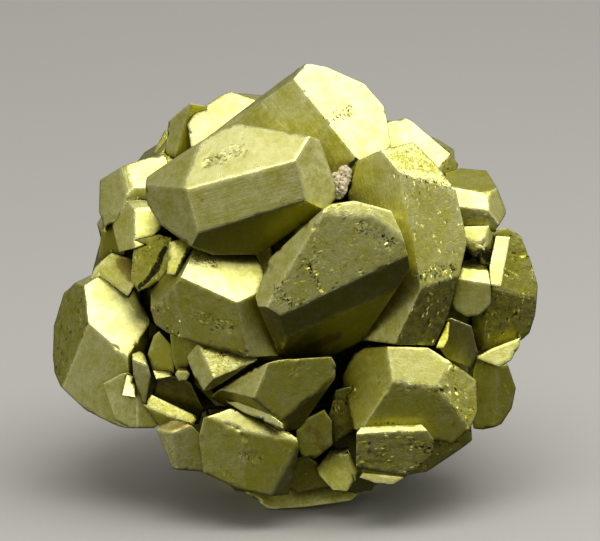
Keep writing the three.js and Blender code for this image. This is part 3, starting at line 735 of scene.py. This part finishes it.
class Nodes:
    """The nodes of a material, of the world or of a scatter."""

    def __init__(self, tree):
        self.tree = tree
        tree.nodes.clear()

    def node(self, kind, settings, sockets):
        """Adds a node: its settings first, then a value or a link for each named socket."""
        node = self.tree.nodes.new(kind)
        for key, value in settings.items():
            setattr(node, key, value)
        for key, value in sockets.items():
            socket = node.inputs[key]
            if isinstance(value, Sum):
                value = value.socket
            if isinstance(value, bpy.types.NodeSocket):
                self.tree.links.new(value, socket)
            else:
                socket.default_value = value
        return node

    def math(self, operation, *values):
        node = self.node("ShaderNodeMath", {"operation": operation}, dict(enumerate(values)))
        return Sum(self, node.outputs[0])

    def vector(self, operation, sockets):
        return self.node("ShaderNodeVectorMath", {"operation": operation}, sockets).outputs

    def map(self, name):
        """A map that the mesh carries."""
        node = self.node("ShaderNodeAttribute", {"attribute_name": name}, {})
        return Sum(self, node.outputs["Fac"])

    def place(self, kind="Object"):
        return self.node("ShaderNodeTexCoord", {}, {}).outputs[kind]

    def spread(self, value, low, high, least=0.0, most=1.0):
        """The least below low, the most above high and a smooth rise between."""
        sockets = {"Value": value, "From Min": low, "From Max": high, "To Min": least, "To Max": most}
        node = self.node("ShaderNodeMapRange", {"interpolation_type": "SMOOTHSTEP"}, sockets)
        return Sum(self, node.outputs["Result"])

    def noise(self, where, size, detail, roughness):
        """Noise around zero with features of a size in metres."""
        sockets = {"Vector": where, "Scale": 1 / size, "Detail": detail, "Roughness": roughness}
        node = self.node("ShaderNodeTexNoise", {}, sockets)
        return Sum(self, node.outputs["Fac"]) - NOISE_MIDDLE

    def mixed(self, share, first, second):
        """A colour between two colours."""
        settings = {"data_type": "RGBA", "clamp_factor": True}
        node = self.node("ShaderNodeMix", settings, {0: share, 6: first, 7: second})
        return node.outputs[2]

    def bump(self, height, strength):
        sockets = {"Strength": strength, "Distance": BUMP_DEPTH * MM, "Height": height}
        return self.node("ShaderNodeBump", {}, sockets).outputs["Normal"]


def painted(name, paint, settings):
    """A material whose surface is painted by a function."""
    material = bpy.data.materials.new(name)
    material.use_nodes = True
    nodes = Nodes(material.node_tree)
    surface = nodes.node("ShaderNodeBsdfPrincipled", {}, paint(nodes, settings))
    nodes.node("ShaderNodeOutputMaterial", {}, {"Surface": surface.outputs[0]})
    return material


def colour(values):
    return (*values, 1.0)


NOISE_MIDDLE = 0.5
BUMP_DEPTH = 0.05

# Noises in the pyrite's finish: the size of their marks, detail and roughness
NOISES = {
    "blotches": (2.6, 4, 0.6),
    "mottle": (0.8, 4, 0.7),
    "speckle": (0.30, 3, 0.65),
    "grains": (0.13, 2, 0.6),
    "cracks": (1.1, 5, 0.7),
    "patches": (1.6, 2, 0.5),
}
LINES = (0.20, 3, 0.65)
LINE_STRETCH = (0.05, 1.0, 1.0)
GLINT_SIZE = 0.20
GLINT_STRETCH = (0.45, 1.0, 1.0)

# How much each layer adds to the film of tarnish, to dirt and to the finest relief. The film's shut share is
# painted shade.
FILM_AND_SHADE = {
    "tarnish": 0.75, "tone": 0.2, "blotches": 1.4, "mottle": 1.4, "striae_lines": 1.0, "grains": 1.0,
    "shut": 0.6, "rim": -0.35, "gritty_cracks": 0.8,
}
RUST = {"blotches": 1.0, "crease": 0.25, "rust": 0.55}
# Painted shade deep between the crystals: how shut in a point is, with some mottle.
CREVICE_SHADE = {"shut": 1.0, "mottle": 0.3}
PIT_DIRT = {"speckle": 1.0, "blotches": 0.3, "fine_grit": 0.08, "scar": 0.16}
PIT_PLACES = {"fine_grit": 0.7, "scar": 0.6}
STREAK_DIRT_AND_SHADOW = {"dirt_and_shade": 1.0, "mottle": 1.6, "lines": 0.5}
FINE_RELIEF = {
    "striae_lines": 0.8, "grains": 0.35, "gritty_grains": 0.5,
    "gritty_hollows": -0.6, "scarred_hollows": -0.6, "gritty_cracks": -0.5,
}
GLINT_PLACES = {"sparkling_patches": 1.0, "scar": 0.5}
SHINE = {"roughness": 1.0, "blotches": 0.15, "grime_and_shade": 0.3, "rim": -0.06, "glints": -0.12}

# Where the smooth rise of each mark starts and ends
CRACK_RISE = (0.0, 0.035)
HOLLOW_RISE = (0.05, 0.25)
PATCH_RISE = (-0.04, 0.08)
RUST_RISE = (0.30, 0.65)
CREVICE_SHADE_RISE = (0.32, 0.90)
PIT_RISE = (0.20, 0.32)
CREASE_RISE = (0.35, 0.75)
STREAK_RISE = (0.55, 0.85)
GLINT_RISE = (0.66, 0.72)

RUST_SHARE = 0.7
CREVICE_SHADE_SHARE = 0.85
STREAK_SHARE = 0.95
OPEN_CREASE = 0.4
DULLED_BY_DIRT_AND_SHADE = 0.85
GLINT_LEAN = 0.9
PYRITE_BUMP = 0.6
PYRITE_SPECULAR = 0.15


def weighed(layers, weights):
    """The sum of some layers, each times its weight."""
    first, *rest = (layers[name] * weight for name, weight in weights.items())
    return sum(rest, first)


def pyrite_layers(nodes, where, flat):
    """What the finish is made of: the maps that the mesh carries, noises and products of them."""
    layers = {name: nodes.map(name) for name in (*POINT_MAPS, *SHADED_TRAITS, "tone")}
    for name, (size, detail, roughness) in NOISES.items():
        layers[name] = nodes.noise(where, size * MM, detail, roughness)
    width, detail, roughness = LINES
    stretched = nodes.node("ShaderNodeMapping", {}, {"Vector": flat, "Scale": LINE_STRETCH}).outputs[0]
    layers["lines"] = nodes.noise(stretched, width * UV_SCALE, detail, roughness)
    # Painted shade: how far other crystals shut each point in; it darkens the film, the crevices and the
    # creases.
    layers["shut"] = 1.0 - layers["open"]
    layers["cracks"] = 1.0 - nodes.spread(abs(layers["cracks"]), *CRACK_RISE)
    hollows = nodes.spread(layers["speckle"], *HOLLOW_RISE)
    layers["striae_lines"] = layers["lines"] * layers["fine_striae"]
    layers["gritty_cracks"] = layers["cracks"] * layers["fine_grit"]
    layers["gritty_grains"] = layers["grains"] * layers["fine_grit"]
    layers["gritty_hollows"] = hollows * layers["fine_grit"]
    layers["scarred_hollows"] = hollows * layers["scar"]
    layers["sparkling_patches"] = layers["sparkle"] * nodes.spread(layers["patches"], *PATCH_RISE)
    return layers


def pyrite_grime_and_shade(nodes, layers):
    """From 0 to 1, the dirt in creases, in pits and in streaks; the creases get painted shade where they are
    shut in, and some streaks are painted shadows in holes and gaps.
    """
    pits = nodes.spread(weighed(layers, PIT_DIRT), *PIT_RISE) * weighed(layers, PIT_PLACES).clipped()
    # Dark dirt in the joints, deepened by painted shade where other crystals shut the crease in.
    crease = layers["crease"] * (1.0 + layers["speckle"]) * (OPEN_CREASE + layers["shut"])
    # Streaks of dirt, some of them painted shadows over holes and gaps.
    dirt_and_shadow_streaks = nodes.spread(weighed(layers, STREAK_DIRT_AND_SHADOW), *STREAK_RISE) * STREAK_SHARE
    return nodes.math("MAXIMUM", nodes.math("MAXIMUM", nodes.spread(crease, *CREASE_RISE), dirt_and_shadow_streaks), pits)


def pyrite_colour(nodes, layers, settings):
    # Tarnish, with painted shade where other crystals shut the face in.
    film_and_shade = weighed(layers, FILM_AND_SHADE).clipped()
    brass = nodes.mixed(film_and_shade, colour(settings.pale_brass), colour(settings.olive_brass))
    rust = nodes.spread(weighed(layers, RUST), *RUST_RISE) * RUST_SHARE
    brass = nodes.mixed(rust, brass, colour(settings.rust))
    # Painted shade deep between the crystals.
    crevice_shade = nodes.spread(weighed(layers, CREVICE_SHADE), *CREVICE_SHADE_RISE) * CREVICE_SHADE_SHARE
    brass = nodes.mixed(crevice_shade, brass, colour(settings.crevice_shade))
    return nodes.mixed(layers["grime_and_shade"], brass, colour(settings.dirt_and_shade))


def pyrite_glints(nodes, layers, flat):
    """Small cells that catch the light: their share from 0 to 1, and the way each one leans."""
    streaked = nodes.node("ShaderNodeMapping", {}, {"Vector": flat, "Scale": GLINT_STRETCH}).outputs[0]
    sockets = {"Vector": streaked, "Scale": 1 / (GLINT_SIZE * UV_SCALE)}
    cells = nodes.node("ShaderNodeTexVoronoi", {}, sockets).outputs["Color"]
    share = nodes.spread(Sum(nodes, cells), *GLINT_RISE) * weighed(layers, GLINT_PLACES).clipped()
    lean = nodes.vector("SUBTRACT", {0: cells, 1: (NOISE_MIDDLE,) * 3})[0]
    return share, nodes.vector("SCALE", {0: lean, "Scale": share * GLINT_LEAN})[0]


def pyrite_paint(nodes, settings):
    flat = nodes.node("ShaderNodeUVMap", {"uv_map": STRIAE_MAP}, {}).outputs["UV"]
    layers = pyrite_layers(nodes, nodes.place(), flat)
    layers["grime_and_shade"] = pyrite_grime_and_shade(nodes, layers)
    layers["glints"], lean = pyrite_glints(nodes, layers, flat)
    bumped = nodes.bump(weighed(layers, FINE_RELIEF), PYRITE_BUMP)
    turned = nodes.vector("ADD", {0: bumped, 1: lean})[0]
    return {
        "Base Color": pyrite_colour(nodes, layers, settings),
        # Dirt and painted shade take away the metal's shine.
        "Metallic": 1.0 - layers["grime_and_shade"] * DULLED_BY_DIRT_AND_SHADE,
        "Roughness": weighed(layers, SHINE),
        "Normal": nodes.vector("NORMALIZE", {0: turned})[0],
        "Specular IOR Level": PYRITE_SPECULAR,
    }


QUARTZ_CLOUDS = (0.7, 3, 0.5)
QUARTZ_GRAINS = (0.12, 3, 0.5)
CLOUD_RISE = (-0.10, 0.18)
CLOUD_SHADE = 0.88
QUARTZ_ROUGHNESS = 0.5
CLOUDY_ROUGHNESS = 0.3
QUARTZ_BUMP = 0.5
QUARTZ_GLOW = 0.2
QUARTZ_GLOW_REACH = 0.3


def quartz_paint(nodes, settings):
    where = nodes.place()
    clouds, grains = (
        nodes.noise(where, size * MM, detail, roughness)
        for size, detail, roughness in (QUARTZ_CLOUDS, QUARTZ_GRAINS)
    )
    shade = tuple(c * CLOUD_SHADE for c in settings.colour)
    return {
        "Base Color": nodes.mixed(nodes.spread(clouds, *CLOUD_RISE), colour(settings.colour), colour(shade)),
        "Roughness": QUARTZ_ROUGHNESS + clouds * CLOUDY_ROUGHNESS,
        "Normal": nodes.bump(grains, QUARTZ_BUMP),
        "Subsurface Weight": QUARTZ_GLOW,
        "Subsurface Scale": QUARTZ_GLOW_REACH * MM,
    }


FLOOR_CLOUDS = (120.0, 3, 0.5)
FLOOR_PALER = 1.04
FLOOR_ROUGHNESS = 0.75


def floor_paint(nodes, settings):
    size, detail, roughness = FLOOR_CLOUDS
    clouds = nodes.noise(nodes.place(), size * MM, detail, roughness) + NOISE_MIDDLE
    paler = tuple(min(1.0, c * FLOOR_PALER) for c in settings.floor_colour)
    return {
        "Base Color": nodes.mixed(clouds, colour(settings.floor_colour), colour(paler)),
        "Roughness": FLOOR_ROUGHNESS,
    }


# Pieces

def shown(name, data, material):
    piece = bpy.data.objects.new(name, data)
    bpy.context.scene.collection.objects.link(piece)
    if material is not None:
        data.materials.append(material)
    return piece


class PYRITE_OT_crystals(bpy.types.Operator):
    """Cover the cluster's flat faces with fine, worn crystal faces"""

    bl_idname = "pyrite.crystals"
    bl_label = "Crystals"

    def execute(self, context):
        settings = context.scene.pyrite_crystals
        faces = CrystalFaces(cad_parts[CLUSTER], settings.seed)
        mesh = FineMesh(faces, settings)
        data = crystal_mesh("pyrite_crystals", mesh, settings)
        piece = shown("pyrite_crystals", data, painted("brassy_pyrite", pyrite_paint, settings))
        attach(piece, "root")
        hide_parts(CLUSTER)
        return {"FINISHED"}


GRAIN_INPUTS = (
    ("Geometry", "NodeSocketGeometry", None),
    ("Grain Size", "NodeSocketFloat", "grain_size"),
    ("Spacing", "NodeSocketFloat", "spacing"),
    ("Seed", "NodeSocketInt", "seed"),
    ("Material", "NodeSocketMaterial", None),
)
GRAIN_DENSITY = 4.0e7
GRAIN_LEAST = (0.55, 0.55, 0.55)
GRAIN_MOST = (1.15, 1.15, 1.15)
FULL_TURN = (6.28, 6.28, 6.28)
LUMP_SIZE = 0.35


def grain_tree():
    """Grains of chance sizes and turns, close together over a surface."""
    tree = bpy.data.node_groups.new("quartz_grain_scatter", "GeometryNodeTree")
    nodes = Nodes(tree)
    for name, kind, _ in GRAIN_INPUTS:
        tree.interface.new_socket(name, in_out="INPUT", socket_type=kind)
    tree.interface.new_socket("Geometry", in_out="OUTPUT", socket_type="NodeSocketGeometry")
    given = nodes.node("NodeGroupInput", {}, {}).outputs
    points = nodes.node("GeometryNodeDistributePointsOnFaces", {"distribute_method": "POISSON"}, {
        "Mesh": given["Geometry"],
        "Distance Min": given["Spacing"],
        "Density Max": GRAIN_DENSITY,
        "Seed": given["Seed"],
    })
    grain = nodes.node("GeometryNodeMeshIcoSphere", {}, {"Radius": 1.0, "Subdivisions": 2})
    by_chance = {"data_type": "FLOAT_VECTOR"}
    turn = nodes.node("FunctionNodeRandomValue", by_chance, {0: (0, 0, 0), 1: FULL_TURN})
    size = nodes.node("FunctionNodeRandomValue", by_chance, {0: GRAIN_LEAST, 1: GRAIN_MOST})
    scale = nodes.vector("SCALE", {0: size.outputs[0], "Scale": given["Grain Size"]})
    placed = nodes.node("GeometryNodeInstanceOnPoints", {}, {
        "Points": points.outputs["Points"],
        "Instance": grain.outputs["Mesh"],
        "Rotation": turn.outputs[0],
        "Scale": scale[0],
    })
    joined = nodes.node("GeometryNodeRealizeInstances", {}, {"Geometry": placed.outputs["Instances"]})
    lumps = nodes.node("ShaderNodeTexNoise", {}, {"Scale": 1 / (LUMP_SIZE * MM), "Detail": 1.0})
    offset = nodes.vector("SUBTRACT", {0: lumps.outputs["Color"], 1: (NOISE_MIDDLE,) * 3})
    push = nodes.vector("SCALE", {0: offset[0], "Scale": given["Grain Size"]})
    uneven = nodes.node("GeometryNodeSetPosition", {}, {"Geometry": joined.outputs[0], "Offset": push[0]})
    sockets = {"Geometry": uneven.outputs[0], "Material": given["Material"]}
    finished = nodes.node("GeometryNodeSetMaterial", {}, sockets)
    nodes.node("NodeGroupOutput", {}, {0: finished.outputs[0]})
    return tree


class PYRITE_OT_quartz(bpy.types.Operator):
    """Scatter quartz grains over the crust in the pocket"""

    bl_idname = "pyrite.quartz"
    bl_label = "Quartz Grains"

    def execute(self, context):
        settings = context.scene.pyrite_quartz
        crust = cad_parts[GRAINS].data.copy()
        crust.materials.clear()
        piece = shown("quartz_grain_crust", crust, None)
        modifier = piece.modifiers.new("grains", "NODES")
        tree = grain_tree()
        modifier.node_group = tree
        socket = {item.name: item.identifier for item in tree.interface.items_tree if item.in_out == "INPUT"}
        for name, _, key in GRAIN_INPUTS:
            if key is not None:
                modifier[socket[name]] = getattr(settings, key)
        modifier[socket["Material"]] = painted("milky_quartz", quartz_paint, settings)
        evaluated = piece.evaluated_get(context.evaluated_depsgraph_get())
        grains = bpy.data.meshes.new_from_object(evaluated)
        piece.modifiers.remove(modifier)
        piece.data = grains
        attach(piece, "root")
        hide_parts(GRAINS)
        return {"FINISHED"}


# Stage

VIEW_CENTRE = (0.625, 29.69)
VIEW_DEPTH = 15.0
SENSOR = 36.0
FLOOR_SIZE = 3.0
AIM = (0.0, 0.0, 27.0)
CLIP_END = 20.0
FLOOR_CORNERS = ((-0.5, -0.5), (0.5, -0.5), (0.5, 0.5), (-0.5, 0.5))

# Soft boxes: where they hang, how large they are and their tint
LIGHTS = {
    "key_box": ((70, -100, 370), (520, 260), (1.0, 0.99, 0.94)),
    "side_box": ((330, -160, 190), (160, 160), (1.0, 0.99, 0.94)),
    "front_fill": ((-250, -500, 150), (260, 260), (1.0, 0.99, 0.95)),
}

# The glow of the walls, which rises with height, and of a pale wall to the left: from, to, least, most
GLOW_TINT = (1.0, 0.99, 0.95)
WALL_GLOW = (-0.35, 0.6, 0.025, 0.40)
LEFT_GLOW = (0.78, 0.98, 0.0, 0.23)
LEFT_WAY = (-0.954, -0.283, -0.1)


def light(name, power):
    place, size, tint = LIGHTS[name]
    data = bpy.data.lights.new(name, "AREA")
    data.shape = "RECTANGLE"
    data.size, data.size_y = (side * MM for side in size)
    data.energy = power
    data.color = tint
    lamp = bpy.data.objects.new(name, data)
    lamp.location = Vector(place) * MM
    lamp.rotation_euler = ((Vector(AIM) - Vector(place)).to_track_quat("-Z", "Y")).to_euler()
    bpy.context.scene.collection.objects.link(lamp)


class PYRITE_OT_stage(bpy.types.Operator):
    """Set a pale floor, soft lights and the camera"""

    bl_idname = "pyrite.stage"
    bl_label = "Stage"

    def execute(self, context):
        settings = context.scene.pyrite_stage
        self.make_floor(settings)
        light("key_box", settings.key_power)
        light("side_box", settings.side_power)
        light("front_fill", settings.fill_power)
        self.make_world(context.scene)
        self.make_camera(context.scene, settings)
        context.scene.view_settings.view_transform = "Standard"
        return {"FINISHED"}

    def make_floor(self, settings):
        data = bpy.data.meshes.new("floor")
        corners = [(x * FLOOR_SIZE, y * FLOOR_SIZE, 0) for x, y in FLOOR_CORNERS]
        data.from_pydata(corners, [], [range(len(corners))])
        floor = shown("floor", data, painted("pale_floor", floor_paint, settings))
        floor.visible_glossy = False

    def make_world(self, scene):
        world = bpy.data.worlds.new("studio")
        world.use_nodes = True
        nodes = Nodes(world.node_tree)
        way = nodes.place("Generated")
        height = nodes.node("ShaderNodeSeparateXYZ", {}, {0: way}).outputs["Z"]
        leftness = nodes.vector("DOT_PRODUCT", {0: way, 1: LEFT_WAY})["Value"]
        glow = nodes.spread(height, *WALL_GLOW) + nodes.spread(leftness, *LEFT_GLOW)
        sockets = {"Color": colour(GLOW_TINT), "Strength": glow}
        surface = nodes.node("ShaderNodeBackground", {}, sockets)
        nodes.node("ShaderNodeOutputWorld", {}, {"Surface": surface.outputs[0]})
        scene.world = world

    def make_camera(self, scene, settings):
        points = np.array([v.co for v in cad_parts[CLUSTER].data.vertices]) / MM
        foot = (points @ SEEN_UP).min() - LOWEST_V
        u, v = VIEW_CENTRE
        centre = u * SEEN_RIGHT + (v + foot) * SEEN_UP
        centre += (VIEW_DEPTH - centre @ SEEN_NEAR) * SEEN_NEAR
        data = bpy.data.cameras.new("camera")
        data.sensor_width = SENSOR
        data.lens = SENSOR * settings.camera_distance / settings.view_width
        data.clip_end = CLIP_END
        camera = bpy.data.objects.new("camera", data)
        camera.location = Vector(centre * MM + settings.camera_distance * SEEN_NEAR)
        camera.rotation_euler = Vector(-SEEN_NEAR).to_track_quat("-Z", "Y").to_euler()
        scene.collection.objects.link(camera)
        scene.camera = camera


class PYRITE_PT_specimen(bpy.types.Panel):
    """Settings and steps of the pyrite specimen"""

    bl_idname = "PYRITE_PT_specimen"
    bl_label = "Pyrite Specimen"
    bl_space_type = "VIEW_3D"
    bl_region_type = "UI"
    bl_category = "Pyrite"

    def draw(self, context):
        for operator, group in STEPS:
            box = self.layout.box()
            settings = getattr(context.scene, group)
            for key in settings.__annotations__:
                box.prop(settings, key)
            box.operator(operator.bl_idname)


STEPS = (
    (PYRITE_OT_crystals, "pyrite_crystals"),
    (PYRITE_OT_quartz, "pyrite_quartz"),
    (PYRITE_OT_stage, "pyrite_stage"),
)
GROUPS = {"pyrite_crystals": CrystalSettings, "pyrite_quartz": QuartzSettings, "pyrite_stage": StageSettings}
CLASSES = (*GROUPS.values(), *(step[0] for step in STEPS), PYRITE_PT_specimen)


def register():
    for cls in CLASSES:
        bpy.utils.register_class(cls)
    for name, group in GROUPS.items():
        setattr(bpy.types.Scene, name, bpy.props.PointerProperty(type=group))


def unregister():
    for name in GROUPS:
        delattr(bpy.types.Scene, name)
    for cls in reversed(CLASSES):
        bpy.utils.unregister_class(cls)


def main():
    register()
    bpy.ops.pyrite.crystals()
    bpy.ops.pyrite.quartz()
    bpy.ops.pyrite.stage()


if __name__ == "__main__":
    main()
